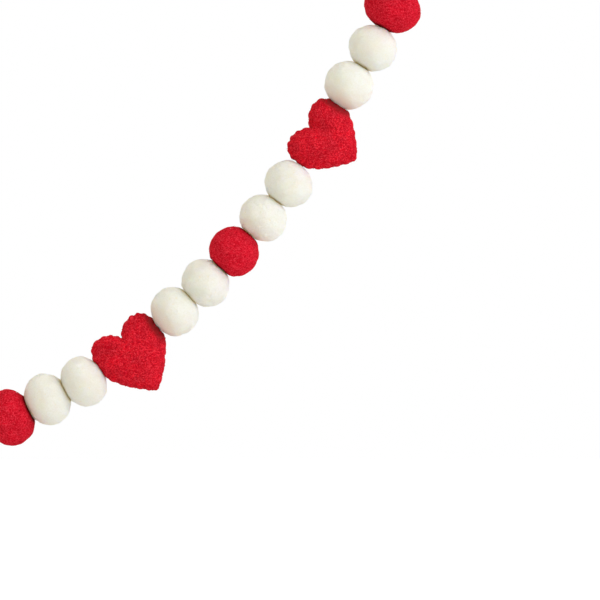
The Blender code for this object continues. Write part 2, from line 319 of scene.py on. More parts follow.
white_felt = felt("white_felt", (
    (0.950, 0.920, 0.835),          # ground
    (0.970, 0.950, 0.885),          # fibres on top
    (0.900, 0.865, 0.750),          # between them
    (0.990, 0.800, 0.420),          # painted shade deep in a contact line, golden
    (0.860, 0.520, 0.420),          # painted red light beside a red bead
), 0.5, 0.7, 0.52 * MM, {
    "Subsurface Weight": 0.80, "Subsurface Radius": (1.0, 0.85, 0.60), "Subsurface Scale": 6.0 * MM,
    "Specular IOR Level": 0.08,
})
red_felt = felt("red_felt", (
    (0.665, 0.004, 0.018),
    (0.900, 0.050, 0.080),
    (0.500, 0.003, 0.013),
    # painted shade deep in a contact line
    (0.170, 0.004, 0.006),
    (0.600, 0.010, 0.020),
), 1.0, 0.80, 0.22 * MM, {"Specular IOR Level": 0.02})
heart_felt = felt("heart_felt", (
    (0.790, 0.004, 0.018),
    (0.980, 0.058, 0.085),
    (0.500, 0.003, 0.013),
    # painted shadow that a neighbouring ball casts on the heart
    (0.340, 0.020, 0.024),
    (0.480, 0.003, 0.010),
), 1.0, 0.90, 0.32 * MM, {
    "Subsurface Weight": 0.30, "Subsurface Radius": (1.0, 0.10, 0.10), "Subsurface Scale": 2.5 * MM,
    "Specular IOR Level": 0.02,
})
FELT = {"W": white_felt, "R": red_felt, "H": heart_felt}
print(f"Felt finishes: {', '.join(made.name for made in FELT.values())}")

# %% [markdown]
# The cord is pale cotton, three plies laid together. Its fibres run along the plies, and the
# grooves between the plies are painted a little darker, as painted shade. The sewing thread of
# the hearts is red cotton with a faint shine, and loose fibres are paler than the felt they
# leave, because light goes through them.

# %% Cotton, thread and loose fibres
def spun(name, light, dark, grain_size, roughness, sheen, specular):
    """Cotton or loose wool: fine light and dark fibres."""
    finish = Finish(name)
    place = finish.place()
    grain = finish.cloud(place, grain_size, detail=3.0, warp=0.4)
    colour = finish.mix(finish.between(grain, 0.35, 0.65), dark, light)
    # painted shade in the grooves between the plies
    colour = finish.mix(finish.marked("groove"), colour, dark)
    return finish.close(colour, roughness + grain * 0.1, finish.bump(grain, 0.06 * MM, 0.8),
                        {"Sheen Weight": sheen, "Sheen Roughness": 0.5,
                         "Specular IOR Level": specular})


cotton = spun("cotton_cord", (0.69, 0.68, 0.65), (0.48, 0.47, 0.43), 0.5 * MM, 0.80, 0.1, 0.2)
sewing_thread = spun("sewing_thread", (0.70, 0.006, 0.020), (0.50, 0.004, 0.014), 0.4 * MM, 0.80,
                     0.0, 0.05)
white_fuzz = spun("white_fuzz", (0.94, 0.92, 0.86), (0.86, 0.83, 0.75), 1.5 * MM, 0.85, 0.1, 0.2)
red_fuzz = spun("red_fuzz", (0.92, 0.12, 0.13), (0.66, 0.02, 0.03), 1.5 * MM, 0.85, 0.0, 0.2)
print("Cotton, thread and fuzz are ready")

# %% [markdown]
# Every soft piece here ends up as a mesh made from points and faces, smooth-shaded, riding on
# the garland's one body, and standing for the simple solid in the model. One helper does that,
# and it also hangs named values on the points, such as how much painted shade a contact line
# puts there.

# %% Helper for pieces
def add_piece(name, points, faces, material, nodes=(), marks=None):
    mesh = bpy.data.meshes.new(name)
    mesh.from_pydata([tuple(point) for point in points], [], faces)
    mesh.shade_smooth()
    for mark, values in (marks or {}).items():
        layer = mesh.attributes.new(mark, "FLOAT", "POINT")
        layer.data.foreach_set("value", values)
    mesh.materials.append(material)
    piece = bpy.data.objects.new(name, mesh)
    bpy.context.scene.collection.objects.link(piece)
    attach(piece, "root")
    if nodes:
        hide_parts(*nodes)
    return piece


# %% [markdown]
# A laid cord is three round plies twisted together. Modelling each ply as its own tube would
# leave hidden walls inside, so the cord is one tube whose section is the outline of the three
# plies, turned a little further at each step along the way. The section is carried along the
# route without extra twist, which keeps the lay even round the bends.

# %% A laid cord
CORD_WIDTH = 1.3 * MM
PLIES = 3
PLY_SHARE = 0.464                   # ply radius as a share of the cord's
LAY_LENGTH = 3.8 * MM               # cord taken up by one full turn of the plies
PLY_POINTS = 6                      # points across each ply


def ply_outline():
    """Angle and distance from the cord's middle for each point round the three plies."""
    ply = CORD_WIDTH / 2 * PLY_SHARE
    out = CORD_WIDTH / 2 - ply
    made = []
    for step in range(PLIES * PLY_POINTS):
        across = (step % PLY_POINTS) / PLY_POINTS - 0.5
        turn = math.tau / PLIES * across
        reach = out * math.cos(turn) + math.sqrt(max(0.0, ply ** 2 - (out * math.sin(turn)) ** 2))
        made.append((math.tau * step / (PLIES * PLY_POINTS), reach))
    return made


def carried_sides(points):
    """A direction across the route at each point, carried along without twist."""
    ways = [(points[min(number + 1, len(points) - 1)] - points[max(number - 1, 0)]).normalized()
            for number in range(len(points))]
    side = ways[0].orthogonal().normalized()
    made = []
    for way in ways:
        side = (side - way * side.dot(way)).normalized()
        made.append((way, side))
    return made


def laid_cord(points, start_turn=0.0):
    """Points, faces and groove marks of a three-ply cord along a route."""
    outline = ply_outline()
    deepest = min(reach for _, reach in outline)
    made, grooves = [], []
    gone = 0.0
    for number, (way, side) in enumerate(carried_sides(points)):
        if number:
            gone += (points[number] - points[number - 1]).length
        third = way.cross(side)
        for angle, reach in outline:
            turn = angle + start_turn + math.tau * gone / LAY_LENGTH
            made.append(points[number] + (side * math.cos(turn) + third * math.sin(turn)) * reach)
            grooves.append(1.0 if reach < deepest * 1.2 else 0.0)
    return made, tube_faces(len(points), len(outline)), grooves


def tube_faces(rings, sides):
    """Faces of a tube with closed ends."""
    faces = [tuple(reversed(range(sides))), tuple(range((rings - 1) * sides, rings * sides))]
    for ring in range(rings - 1):
        for side in range(sides):
            beside = (side + 1) % sides
            faces.append((ring * sides + side, ring * sides + beside,
                          (ring + 1) * sides + beside, (ring + 1) * sides + side))
    return faces


# %% [markdown]
# Past each knot the cord makes a long teardrop loop, over the hook and back into the knot.
# Its route is a smooth curve through given points: close together at the knot, where
# it is pulled tight, and widest near the top. Its real length is measured along the route.

# %% The two hanging loops
LOOP_HALF = (
    # side, height over the knot's outer face, in mm
    (0.95, 0.3), (1.15, 7.0), (2.1, 20.0), (3.6, 36.0), (4.8, 49.0), (4.7, 56.0), (3.0, 60.6),
    (0.0, 62.3),
)
LOOP_STEPS = 400


def smooth_through(points, count):
    """Points at even steps on a smooth curve through the given ones."""
    ends = [points[0] * 2 - points[1], *points, points[-1] * 2 - points[-2]]
    made = []
    for step in range(count):
        reach = step * (len(points) - 1) / (count - 1)
        span = min(int(reach), len(points) - 2)
        part = reach - span
        before, start, end, after = ends[span:span + 4]
        made.append(0.5 * (2 * start + (end - before) * part
                           + (2 * before - 5 * start + 4 * end - after) * part ** 2
                           + (3 * start - before - 3 * end + after) * part ** 3))
    return made


def end_frame(end):
    """Where a knot starts, the way the string runs on there, and the outer side of the curve."""
    if end == "right":
        along = curve_direction(LIMITS[-1])
        return TOUCH[-1], along, -inner_side(along)
    along = curve_direction(LIMITS[0])
    return TOUCH[0], -along, -inner_side(along)


def route_length(points):
    return sum((after - before).length for before, after in zip(points, points[1:]))


def make_loop(end):
    start, onward, outer = end_frame(end)
    base = start + onward * (KNOT_GAP + KNOT_LENGTH)
    half = [Vector((side * MM, height * MM)) for side, height in LOOP_HALF]
    route = half + [Vector((-point.x, point.y)) for point in reversed(half[:-1])]
    points = [base + outer * flat.x + onward * flat.y for flat in smooth_through(route, LOOP_STEPS)]
    made, faces, grooves = laid_cord(points)
    name = f"cord_loop_{end}"
    loop = add_piece(name, made, faces, cotton, [f"loop_cord_{end}"], {"groove": grooves})
    route_length(points)
    print(f"{name}: {route_length(points) / MM:.1f} mm of cord, {len(faces)} faces")
    return loop


loops = [make_loop(end) for end in ("left", "right")]

# %% [markdown]
# Inside the beads the same cord runs straight from one meeting point to the next. It only
# shows at the two ends and in the thin dark lines between beads, so it is made with longer
# steps than the loops.

# %% The string through the beads
STEPS_PER_BEAD = 18
string_points = []
for index in range(len(ORDER)):
    for step in range(STEPS_PER_BEAD):
        string_points.append(TOUCH[index].lerp(TOUCH[index + 1], step / STEPS_PER_BEAD))
string_points.append(TOUCH[-1])
made, faces, grooves = laid_cord(string_points)
add_piece("string", made, faces, cotton, ["stringing_cord"], {"groove": grooves})
print(f"The string is {route_length(string_points) / MM:.0f} mm long, with {len(faces)} faces")

# %% [markdown]
# Where two felt beads press on each other, both give way and meet in a shallow, uneven face.
# A cut straight across would leave a slit that light shines through. So both beads are pressed
# against the same gently waved face, each a hair's breadth from it, and the rim of the contact
# is soft: the closer a point is to the face, the more it is held back. A heart is softer than
# a ball, so there the face is hollow on the heart's side and the heart wraps a little round
# the ball, more at its upper side, where the weight of the swag pulls the ball into it.

# %% How beads press on each other
SKIN = 0.04 * MM                    # from the shared face to each bead
RIM = 0.09 * MM                     # how softly a bead rounds into its contact face
FREE = 12                           # this many rims away, the face holds nothing back
FACE_WAVE = 0.28 * MM               # height of the waves in that face
FACE_WAVE_SIZE = 3.5 * MM
SUNK_FIRST = 0.2 * MM               # how deep a ball sinks into a heart's first side
SUNK_LAST = 1.2 * MM                # and into its last side
SUNK_RADIUS = 14.0 * MM             # how round that hollow is

HEART_COLUMNS = ("place", "width", "rise", "drop", "lean", "turn", "first_lobe", "shift")
HEART_ROWS = (
    # place on the string; in mm the width, the lobes' rise over the string and the point's drop
    # below it; in degrees the point's lean along the string and the turn about its upright; the
    # first lobe's size as a share of the last one's; in mm the shift along the string
    (6, 37.2, 12.4, 24.4, 2.0, -6.0, 1.00, -0.4),
    (12, 37.6, 11.8, 23.6, -2.0, 5.0, 0.96, 0.2),
    (18, 37.0, 12.4, 25.0, 1.0, -4.0, 1.00, 0.0),
    (24, 37.8, 12.9, 24.8, -2.3, 8.0, 0.98, -1.0),
    (30, 37.6, 11.4, 21.8, -2.0, 8.0, 0.97, 0.0),
)
HEARTS = {row[0]: dict(zip(HEART_COLUMNS, row)) for row in HEART_ROWS}


def turn_at(number):
    """How far the faces that meet at a joint of the string are turned, in radians."""
    for index in (number - 1, number):
        if 0 <= index < len(ORDER) and ORDER[index] == "H":
            return math.radians(HEARTS[index + 1]["turn"])
    return 0.0


def face_normal(number):
    if number == 0:
        along = bead_axis(0)
    elif number == len(ORDER):
        along = bead_axis(number - 1)
    else:
        along = (bead_axis(number - 1) + bead_axis(number)).normalized()
    return Matrix.Rotation(turn_at(number), 3, inner_side(along)) @ along


def sunk(number):
    """How far the face at a joint is pushed along the string into a heart."""
    if number > 0 and ORDER[number - 1] == "H":
        return -SUNK_LAST
    if number < len(ORDER) and ORDER[number] == "H":
        return SUNK_FIRST
    return 0.0


def bead_faces(index):
    """The faces at a bead's start and end: place, normal out of the bead, sign and sinking."""
    return [(TOUCH[number], face_normal(number) * sign, sign, sunk(number))
            for number, sign in ((index, -1.0), (index + 1, 1.0))]


def press(point, faces):
    """Hold a point back from the faces; also how close it came to each one, in metres."""
    near = []
    for place, outward, sign, sinking in faces:
        off = (point - place).dot(outward)
        flat = point - outward * off
        shape = noise.noise(flat / FACE_WAVE_SIZE) * FACE_WAVE
        if sinking:
            hollow = (flat - place).length_squared / (2 * SUNK_RADIUS)
            shape += sinking - math.copysign(hollow, sinking)
        over = off - shape * sign
        held = over
        if over > -FREE * RIM:
            held = -RIM * math.log1p(math.exp(-over / RIM)) - SKIN * min(1.0, math.exp(over / RIM))
        point = point + outward * (held - over)
        near.append(-held)
    return point, near


# %% [markdown]
# A felt ball is rolled by hand in soapy water, so it is never quite round: it has soft lumps,
# shallow dimples, and here and there a faint crease where a tuft was folded in. The mesh is
# spun round the string like a pot on a wheel, with a needle hole down its middle, and each
# point is moved by those lumps and dimples before the ball is pressed against its neighbours.

# %% Sizes of the balls
BALL_HALF_LENGTH = {"W": 11.4 * MM, "R": 12.0 * MM}
BALL_WIDTH = {"W": 24.5 * MM, "R": 27.2 * MM}
PRESSED_WIDTH_GAIN = 0.05           # a ball pressed at the lowest point is this much wider
WIDTH_SPREAD = 0.4 * MM
OFF_STRING_SPREAD = 0.6 * MM
LUMP = 0.012                        # height of the soft lumps, as a share of the ball's width
LUMPS_AROUND = (1, 2, 3)
LUMP_TWIST = 1.5
OWN_SIZES = {
    # place: width across the string and how far the body sits off it, in mm
    21: (28.6, -0.5), 22: (26.2, 0.5), 23: (25.8, -0.5), 25: (24.8, 0.1), 26: (24.7, -0.6),
    27: (25.4, -0.3), 28: (24.3, -0.9), 29: (24.5, -0.9), 31: (24.7, 0.8), 32: (24.4, -0.5),
    33: (29.4, 0.2),
}
WIDEST_AT = {27: -0.7}              # in mm from the middle along the string; 0 for the others


def ball_sizes(index):
    """Half the width of a ball, and how far it sits off the string."""
    place = index + 1
    if place in OWN_SIZES:
        width, off_string = OWN_SIZES[place]
        return width * MM / 2, off_string * MM
    chance = random.Random(place)
    width = BALL_WIDTH[ORDER[index]] * (1.0 + PRESSED_WIDTH_GAIN * (1.0 - ease(index)))
    width += chance.uniform(-WIDTH_SPREAD, WIDTH_SPREAD)
    return width / 2, chance.uniform(-OFF_STRING_SPREAD, OFF_STRING_SPREAD)


def lumps(place):
    """Unevenness of a hand-rolled ball, as a factor for a way round and a rise along it."""
    chance = random.Random(f"lumps {place}")
    waves = []
    for count in LUMPS_AROUND:
        waves.append((count, chance.uniform(0.0, math.tau), chance.uniform(-LUMP_TWIST, LUMP_TWIST)))

    def factor(around, rise):
        total = sum(math.sin(count * around + start + twist * rise) for count, start, twist in waves)
        return 1.0 + LUMP * total / len(waves)

    return factor


# %% [markdown]
# The dimples are smooth noise at three sizes. The palms that roll a ball also leave flat spots
# with soft ridges between them: the squared distance to the nearest of many scattered points
# is low at each point and highest half way to the next, which is just that. A crease is where
# another noise passes through zero: only that thin line sinks in, and only where a wide noise
# lets it, so that a ball has one or two short creases and not a net of them.

# %% Dimples and creases in felt
DIMPLES = ((6.5 * MM, 0.30 * MM), (3.0 * MM, 0.30 * MM), (1.7 * MM, 0.18 * MM))     # size, depth
FLAT_SPOT_SIZE = 6.0 * MM
FLAT_SPOT_DEPTH = 0.22 * MM
CREASE_SIZE = 8.0 * MM
CREASE_DEPTH = 0.34 * MM
CREASE_WIDTH = 0.05                 # in the noise's own units


def dimpled(point):
    """How far felt stands out at a point, in metres."""
    height = sum(noise.noise(point / size) * depth for size, depth in DIMPLES)
    distances, _ = noise.voronoi(point / FLAT_SPOT_SIZE, distance_metric="DISTANCE_SQUARED")
    height += FLAT_SPOT_DEPTH * (distances[0] - 0.25)
    line = noise.noise(point / CREASE_SIZE + Vector((7.0, 3.0, 1.0)))
    where = max(0.0, noise.noise(point / (2 * CREASE_SIZE) + Vector((1.0, 5.0, 9.0))))
    height -= CREASE_DEPTH * math.exp(-(line / CREASE_WIDTH) ** 2) * min(1.0, 4 * where)
    return height


# %% [markdown]
# Deep in a contact line between two balls the felt is painted darker: painted shade, which on
# white felt is golden, like light that has bounced off wool many times. Next to a red bead, a
# white ball is painted a breath of pink: painted red light bounced off that bead, which shows on
# the side in the shade and is lost on the bright one. Both are marks on the mesh, worked out
# from how close each point lies to the contact face.

# %% Roll the balls
BALL_SIDES = 76
BALL_ROWS = 50
HOLE_WIDTH = 2.2 * MM
HOLE_ROWS = (0.9, 0.45)             # how deep in the hole its next rows of points lie, in mm
CENTRED = 0.45                      # nearer the poles than this share, the body closes on the string
CONTACT_REACH = 0.55 * MM           # how far out of the contact line the painted shade reaches
RED_BOUNCE_REACH = 2.2 * MM
RED_BOUNCE_STRENGTHS = (0.36, 0.08)              # painted red light beside a red bead before it, and after it
BALLS = ("W", "R")


def from_face(point, face):
    """How far a point lies inside the flat face between two beads."""
    place, outward = face[:2]
    return max(0.0, (place - point).dot(outward))


def ball_rows(half_width):
    """Rises from one end of a ball to the other, between the edges of its needle hole."""
    most = math.acos(HOLE_WIDTH / 2 / half_width)
    return [most * (2 * row / (BALL_ROWS - 1) - 1) for row in range(BALL_ROWS)]


def make_ball(index):
    along = bead_axis(index)
    inner = inner_side(along)
    front = along.cross(inner)
    middle = bead_middle(index)
    half_width, off_string = ball_sizes(index)
    half_length = BALL_HALF_LENGTH[ORDER[index]]
    uneven = lumps(index + 1)
    faces_near = bead_faces(index)
    reaches = [half_length + abs(sunk(number)) for number in (index, index + 1)]
    beside = [ORDER[index - 1] if index else "-", ORDER[index + 1] if index < len(ORDER) - 1 else "-"]
    bounce_strengths = [pink * (ORDER[index] == "W" and neighbour in ("R", "H"))
               for pink, neighbour in zip(RED_BOUNCE_STRENGTHS, beside)]
    points, pressed, blush = [], [], []
    for side in range(BALL_SIDES):
        around = math.tau * side / BALL_SIDES
        spoke = inner * math.cos(around) + front * math.sin(around)
        column = []
        for rise in ball_rows(half_width):
            width = math.cos(rise)
            centre = middle + inner * (off_string * min(1.0, width / CENTRED))
            centre += along * (WIDEST_AT.get(index + 1, 0.0) * MM * width)
            body = half_width * uneven(around, rise) * width
            point = centre + along * (reaches[rise > 0] * math.sin(rise)) + spoke * body
            point += (point - middle).normalized() * dimpled(point)
            column.append(press(point, faces_near))
        first, last = column[0][0], column[-1][0]
        for deep in HOLE_ROWS:
            column.append((last - along * (deep * MM), (0.0, 0.0)))
        for deep in reversed(HOLE_ROWS):
            column.append((first + along * (deep * MM), (0.0, 0.0)))
        for point, near in column:
            points.append(point)
            # painted shade near a contact with another ball
            pressed.append(max(math.exp(-(away / CONTACT_REACH) ** 2) * (neighbour in BALLS)
                               for away, neighbour in zip(near, beside)))
            # painted red light bounced off a neighbouring red bead
            blush.append(max(pink * math.exp(-from_face(point, face) / RED_BOUNCE_REACH)
                             for face, pink in zip(faces_near, bounce_strengths)))
    rows = BALL_ROWS + 2 * len(HOLE_ROWS)
    faces = []
    for side in range(BALL_SIDES):
        beside = (side + 1) % BALL_SIDES
        for row in range(rows):
            above = (row + 1) % rows
            faces.append((side * rows + row, beside * rows + row,
                          beside * rows + above, side * rows + above))
    return add_piece(f"felt_{bead_name(index)}", points, faces, FELT[ORDER[index]],
                     [bead_name(index)], {"pressed": pressed, "blush": blush})


balls = {index: make_ball(index) for index, kind in enumerate(ORDER) if kind != "H"}
print(f"{len(balls)} balls, {len(balls[0].data.polygons)} faces each")

# %% [markdown]
# A heart is cut twice from red felt, stuffed, and closed by whip stitches over the edge. Its
# outline is a smooth curve through a few points, as shares of its width, its rise and its
# drop. The stitches come at even steps along that curve, one in the notch and none on the
# point, so the curve is measured first and then divided.

# %% A heart's edge
HEART_OUTLINE = (
    # right half from the notch to the point: side, height
    (0.00, 0.52), (0.17, 0.80), (0.38, 0.96), (0.60, 1.00), (0.83, 0.84), (0.98, 0.40),
    (1.00, -0.06), (0.88, -0.33), (0.58, -0.63), (0.26, -0.87), (0.07, -0.99), (0.00, -1.00),
)
NOTCH_SIDE = 0.38                   # from the notch to here, the two halves run into each other
OUTLINE_STEPS = 600
STITCH_PITCH = 4.5 * MM
STITCH_UNEVEN = 0.28                # a stitch may be longer or shorter by this share
POINTS_PER_STITCH = 6


def measured(points):
    """How far along a route each of its points lies."""
    gone = [0.0]
    for before, after in zip(points, points[1:]):
        gone.append(gone[-1] + (after - before).length)
    return gone


def at_lengths(points, lengths):
    """Points at the given lengths along a route."""
    gone = measured(points)
    made, number = [], 0
    for target in lengths:
        while number < len(points) - 2 and gone[number + 1] < target:
            number += 1
        part = (target - gone[number]) / (gone[number + 1] - gone[number])
        made.append(points[number].lerp(points[number + 1], min(part, 1.0)))
    return made


def stitched_lengths(total, stitches, chance):
    """Where the points of half the seam lie: stitches of uneven length, then half a one."""
    steps = [1.0 + chance.uniform(-STITCH_UNEVEN, STITCH_UNEVEN) for _ in range(stitches)] + [0.5]
    lengths = [0.0]
    for number, step in enumerate(steps):
        parts = POINTS_PER_STITCH if number < stitches else POINTS_PER_STITCH // 2
        reach = total * step / sum(steps)
        lengths += [lengths[-1] + reach * part / parts for part in range(1, parts + 1)]
    return lengths


def half_outline(row, lobe):
    """A smooth curve along one half from the notch to the point, its lobe scaled by a share."""
    half = []
    for side, height in HEART_OUTLINE:
        rise = row["rise"] * (1.0 - (1.0 - lobe) * min(1.0, side / NOTCH_SIDE))
        reach = rise if height > 0 else row["drop"]
        half.append(Vector((side * lobe * row["width"] / 2 * MM, height * reach * MM)))
    return smooth_through(half, OUTLINE_STEPS)


def heart_edge(row):
    """Points round the seam, clockwise from the notch, with the outward way at each."""
    chance = random.Random(f"stitches {row['place']}")
    halves = []
    for lobe in (1.0, row["first_lobe"]):
        curve = half_outline(row, lobe)
        total = measured(curve)[-1]
        if not halves:
            stitches = round(total / STITCH_PITCH - 0.5)
        halves.append(at_lengths(curve, stitched_lengths(total, stitches, chance)))
    edge = halves[0] + [Vector((-point.x, point.y)) for point in reversed(halves[1][1:-1])]
    count = len(edge)
    ways = []
    for number in range(count):
        step = edge[(number + 1) % count] - edge[number - 1]
        ways.append(Vector((-step.y, step.x)).normalized())
    return edge, ways, stitches


# %% [markdown]
# Between two stitches the edge bulges out, and each stitch pulls it in, which gives the
# scalloped rim. No two stitches are pulled equally tight, and those round the lobes are the
# tightest, because the edge has to be gathered there. The thread also sinks into both faces
# for about 3 mm, and the felt puckers on from there. The stuffing fills the two lobes more
# than the fold that runs down from the notch, and it evens out the notch towards the middle.
# All of it is one height over the middle sheet.

# %% A heart's shape
HEART_THICKNESS = 18.0 * MM
HEART_CROWN_HEIGHT = 0.25           # the crown's middle, as a share of rise less drop
HEART_EDGE_POWER = 2.6
HEART_CROWN_POWER = 0.6
SCALLOP = 0.69 * MM                 # how far in a stitch pulls the edge
BULGE = 0.45 * MM                   # how far the edge stands out between stitches
PULL = (0.10, 1.40)                 # share of that pull, from slack to tight
LOBE_PULL = 1.45                    # round the lobes
POINT_PULL = 0.9                    # below the string
STITCH_DEPTH = 3.1 * MM             # how far in from the edge the thread goes through the felt
STITCH_GROOVE = 0.32 * MM
GROOVE_WIDTH = 0.42 * MM
STITCH_SLANT = {1.0: 0.10, -1.0: 0.50}      # on the front and the back, in stitches
PUCKER = 0.20 * MM
PUCKER_REACH = 6.5 * MM
NOTCH_SOFTENED = 3.0                # stitches over which the notch is spread out at the crown
FOLD_WIDTH = 2.8 * MM
FOLD_REACH = 8.5 * MM               # how far down from the notch it runs
FOLD_TILT = 0.25                    # it leans towards the right lobe by this slope
FOLDS = {6: 0.35, 12: 0.50, 18: 0.40, 24: 0.12, 30: 0.55}      # share of the thickness lost there
HEART_LUMPS = 0.55 * MM
HEART_LUMP_SIZE = 6.0 * MM


def stitch_phase(at):
    """0 on a stitch, rising to 0.5 half way to the next."""
    part = at / POINTS_PER_STITCH % 1.0
    return min(part, 1.0 - part)


def held_by_thread(at, inset, side):
    """1 in the groove under a thread, 0 away from it."""
    slanted = at - STITCH_SLANT[side] * POINTS_PER_STITCH * min(inset / STITCH_DEPTH, 1.2)
    across = stitch_phase(slanted) * STITCH_PITCH
    groove = math.exp(-(across / GROOVE_WIDTH) ** 2)
    return groove / (1.0 + math.exp((inset - STITCH_DEPTH) / (0.25 * MM)))


def heart_depth(share):
    return HEART_THICKNESS / 2 * max(0.0, 1.0 - share ** HEART_EDGE_POWER) ** HEART_CROWN_POWER


class Heart:
    """The shape of one heart, before and after it is pressed by its neighbours."""

    def __init__(self, index):
        self.row = HEARTS[index + 1]
        self.edge, self.ways, self.stitches = heart_edge(self.row)
        self.along = bead_axis(index)
        self.inner = inner_side(self.along)
        self.front = self.along.cross(self.inner)
        turn = Matrix.Rotation(math.radians(self.row["turn"]), 3, self.inner)
        lean = Matrix.Rotation(math.radians(self.row["lean"]), 3, self.front)
        self.tilt = turn @ lean
        self.string_middle = bead_middle(index)
        rise, drop = self.row["rise"], self.row["drop"]
        self.middle = Vector((0.0, (rise - drop) * HEART_CROWN_HEIGHT * MM))
        self.notch = self.edge[0].y
        self.fold = FOLDS[index + 1]
        self.faces = bead_faces(index)
        chance = random.Random(f"pulls {index + 1}")
        self.pulls = []
        for number in range(2 * self.stitches + 1):
            lobe = self.edge[number * POINTS_PER_STITCH].y > 0
            self.pulls.append(chance.uniform(*PULL) * (LOBE_PULL if lobe else POINT_PULL))

    def pull(self, at):
        """How tight the nearest stitch is."""
        return self.pulls[round(at / POINTS_PER_STITCH) % len(self.pulls)]

    def edge_at(self, at):
        """Edge point, with its scallop, and outward way at a whole or broken number."""
        before = math.floor(at)
        part = at - before
        count = len(self.edge)
        point = self.edge[before % count].lerp(self.edge[(before + 1) % count], part)
        way = self.ways[before % count].lerp(self.ways[(before + 1) % count], part).normalized()
        slack = abs(math.sin(math.pi * at / POINTS_PER_STITCH))
        return point + way * (BULGE - SCALLOP * self.pull(at) * (1.0 - slack)), way

    def flat_point(self, at, share):
        """A point on a ring; the further in it lies, the less it follows the notch."""
        spread = NOTCH_SOFTENED * POINTS_PER_STITCH * (1.0 - share)
        edge = Vector((0.0, 0.0))
        for off in (-spread, 0.0, spread):
            edge += self.edge_at(at + off)[0] / 3
        return self.middle.lerp(edge, share)

    def height(self, at, share, side):
        """How far the felt stands off the middle sheet."""
        flat = self.flat_point(at, share)
        inset = (1.0 - share) * (self.edge[int(at) % len(self.edge)] - self.middle).length
        crown = heart_depth(share)
        down = max(0.0, self.notch - flat.y)
        across = (flat.x - FOLD_TILT * down) / FOLD_WIDTH
        crown *= 1.0 - self.fold * math.exp(-across ** 2 - (down / FOLD_REACH) ** 2)
        spot = Vector((flat.x, flat.y, crown * side)) + self.string_middle
        lumpy = noise.noise(spot / HEART_LUMP_SIZE) * HEART_LUMPS + dimpled(spot)
        crown += lumpy * min(1.0, inset / (2.5 * MM))
        pucker = PUCKER * math.cos(math.tau * at / POINTS_PER_STITCH)
        crown -= pucker * min(1.0, inset / MM) * max(0.0, 1.0 - inset / PUCKER_REACH) ** 2
        crown -= STITCH_GROOVE * held_by_thread(at, inset, side) * min(1.0, inset / (0.3 * MM))
        return max(crown, 0.0), flat, inset

    def point(self, at, share, side, lift=0.0):
        """A point on the heart's skin, pressed, with its nearness to the contact faces."""
        depth, flat, inset = self.height(at, share, side)
        _, way = self.edge_at(at)
        flat = flat + way * lift * max(0.0, 1.0 - inset / (1.2 * MM))
        depth += lift * min(1.0, inset / (1.2 * MM))
        local = self.along * (flat.x + self.row["shift"] * MM) + self.inner * flat.y
        local += self.front * (depth * side)
        return press(self.string_middle + self.tilt @ local, self.faces)


# %% [markdown]
# The skin is a set of rings from the seam in to the crown, on both faces, closed by a fan of
# triangles at each crown. The rings are close together near the edge, where the stitches
# are, and wider apart on the smooth crown.

# %% Sew the hearts
HEART_RINGS = (0.988, 0.968, 0.945, 0.918, 0.888, 0.855, 0.82, 0.78, 0.735, 0.685, 0.63, 0.57,
               0.51, 0.45, 0.39, 0.33, 0.27, 0.21, 0.15, 0.09, 0.04)
SEAM_INSET = 0.25 * MM              # the seam line lies this far in from the two felt edges
HEART_CONTACT_SHADOWS = (
    # how dark the painted shadow in a contact line is, and how far it reaches, at the start and the end
    (0.50, 0.9 * MM),
    (0.97, 4.4 * MM),
)


def heart_skin(heart):
    """Points, faces, painted contact shadow marks and groove marks of one heart's skin."""
    count = len(heart.edge)
    points, pressed, grooves = [], [], []

    def add(at, share, side, lift=0.0):
        point, near = heart.point(at, share, side, lift)
        points.append(point)
        # painted shadow cast by the neighbouring ball near each contact
        pressed.append(max(depth * math.exp(-(away / reach) ** 4)
                           for away, (depth, reach) in zip(near, HEART_CONTACT_SHADOWS)))
        inset = (1.0 - share) * (heart.edge[at % count] - heart.middle).length
        grooves.append(0.7 * held_by_thread(at, inset, side))

    for at in range(count):
        add(at, 1.0, 1.0, -SEAM_INSET)
    faces = []
    for side in (1.0, -1.0):
        first = len(points)
        for share in HEART_RINGS:
            for at in range(count):
                add(at, share, side)
        add(0, 0.0, side)
        rings = [0] + [first + number * count for number in range(len(HEART_RINGS))]
        crown = len(points) - 1
        for at in range(count):
            beside = (at + 1) % count
            for outer, nearer in zip(rings, rings[1:]):
                corners = (outer + at, outer + beside, nearer + beside, nearer + at)
                faces.append(corners[::-int(side)])
            faces.append((rings[-1] + at, rings[-1] + beside, crown)[::-int(side)])
    return points, faces, pressed, grooves


# %% [markdown]
# Each whip stitch is a short run of red thread: out of the front face, over the edge, and
# into the back face half a stitch further on. Its route follows the heart's own surface,
# raised by half the thread, so that it lies in the groove that it presses.

# %% The whip stitches
THREAD_WIDTH = 0.55 * MM
THREAD_SIDES = 6
THREAD_SHARES = (0.845, 0.875, 0.91, 0.94, 0.966, 0.988)
THREAD_LIFT = 0.12 * MM
THREAD_START_DEEP = 0.5 * MM
EDGE_LIFT = -0.05 * MM              # over the edge it is pulled a little into the felt


def round_tube(points, width, sides):
    """Points of a plain tube with tapered, closed ends."""
    made = []
    for number, (way, side) in enumerate(carried_sides(points)):
        third = way.cross(side)
        reach = width / 2 * (0.6 if number in (0, len(points) - 1) else 1.0)
        for step in range(sides):
            turn = math.tau * step / sides
            made.append(points[number] + (side * math.cos(turn) + third * math.sin(turn)) * reach)
    return made


def stitch_route(heart, at):
    """The way of one stitch from the front face over the edge to the back face."""
    route = []
    count = len(heart.edge)
    for side, shares in ((1.0, THREAD_SHARES), (-1.0, THREAD_SHARES[::-1])):
        for share in shares:
            inset = (1.0 - share) * (heart.edge[at % count] - heart.middle).length
            slanted = at + STITCH_SLANT[side] * POINTS_PER_STITCH * inset / STITCH_DEPTH
            outermost = share == THREAD_SHARES[0]
            lift = -THREAD_START_DEEP if outermost else THREAD_LIFT
            route.append(heart.point(slanted, share, side, lift)[0])
        if side > 0:
            route.append(heart.point(at, 1.0, 1.0, EDGE_LIFT)[0])
    return route


